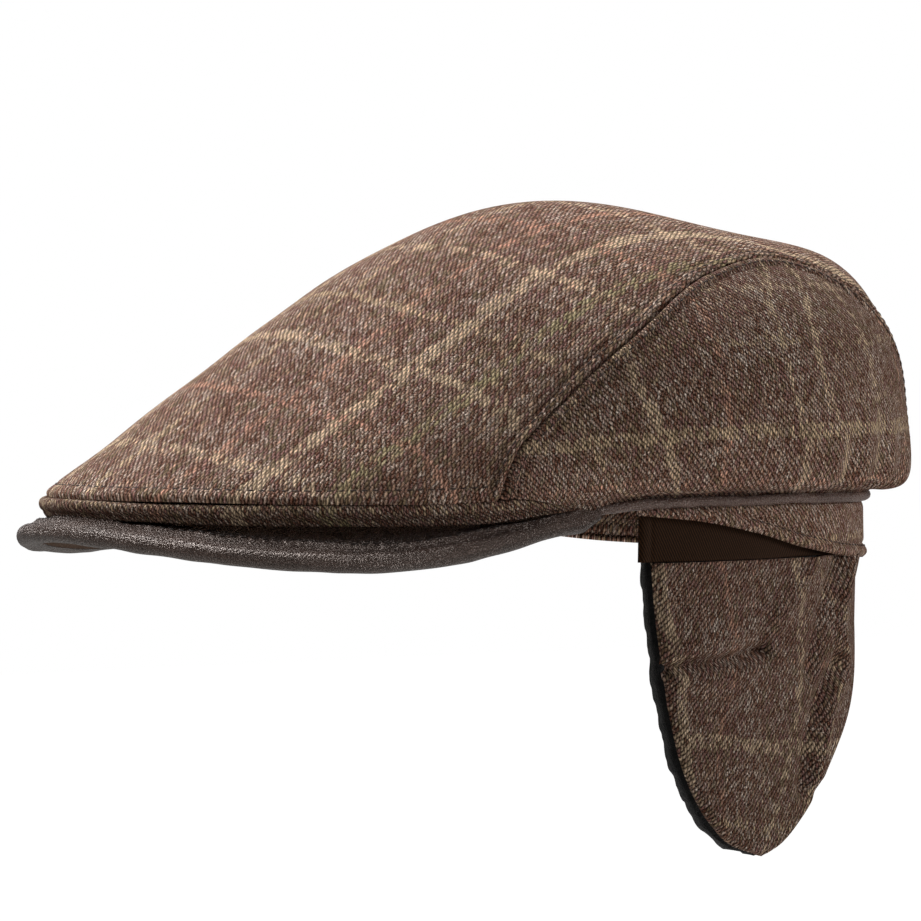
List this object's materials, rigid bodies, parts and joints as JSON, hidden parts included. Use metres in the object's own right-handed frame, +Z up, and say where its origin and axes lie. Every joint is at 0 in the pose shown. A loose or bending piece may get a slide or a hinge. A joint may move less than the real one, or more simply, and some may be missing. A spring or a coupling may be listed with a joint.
{
  "type": "earflap cap",
  "caption": "Flat cap of checked tweed with a leather-bound peak, leather piping and fleece-lined earflaps, the left one down.",
  "frame": {"origin": "middle of the head opening, level with its rim, where the cap sits on a head", "axes": "+Z up towards the top of the crown; -Y towards the front of the peak; +X towards the wearer's left"},
  "size_m": [0.1824, 0.2772, 0.1849],
  "materials": {
    "tweed": "soft woven wool, checked",
    "leather": "fine grain, satin",
    "brown_twill": "fine twill",
    "black_fleece": "deep pile",
    "peak_facing": "plain brown cloth"
  },
  "bodies": {
    "root": {"crown_center_panel": "tweed", "crown_side_panel_left": "tweed", "crown_side_panel_right": "tweed", "front_band": "tweed", "peak_leather": "leather", "peak_underside": "peak_facing", "leather_piping": "leather", "back_band": "tweed", "twill_band_left": "brown_twill", "twill_band_right": "brown_twill", "earflap_left_tweed": "tweed", "earflap_left_fleece": "black_fleece", "earflap_right_tweed": "tweed", "earflap_right_fleece": "black_fleece"}
  },
  "joints": []
}
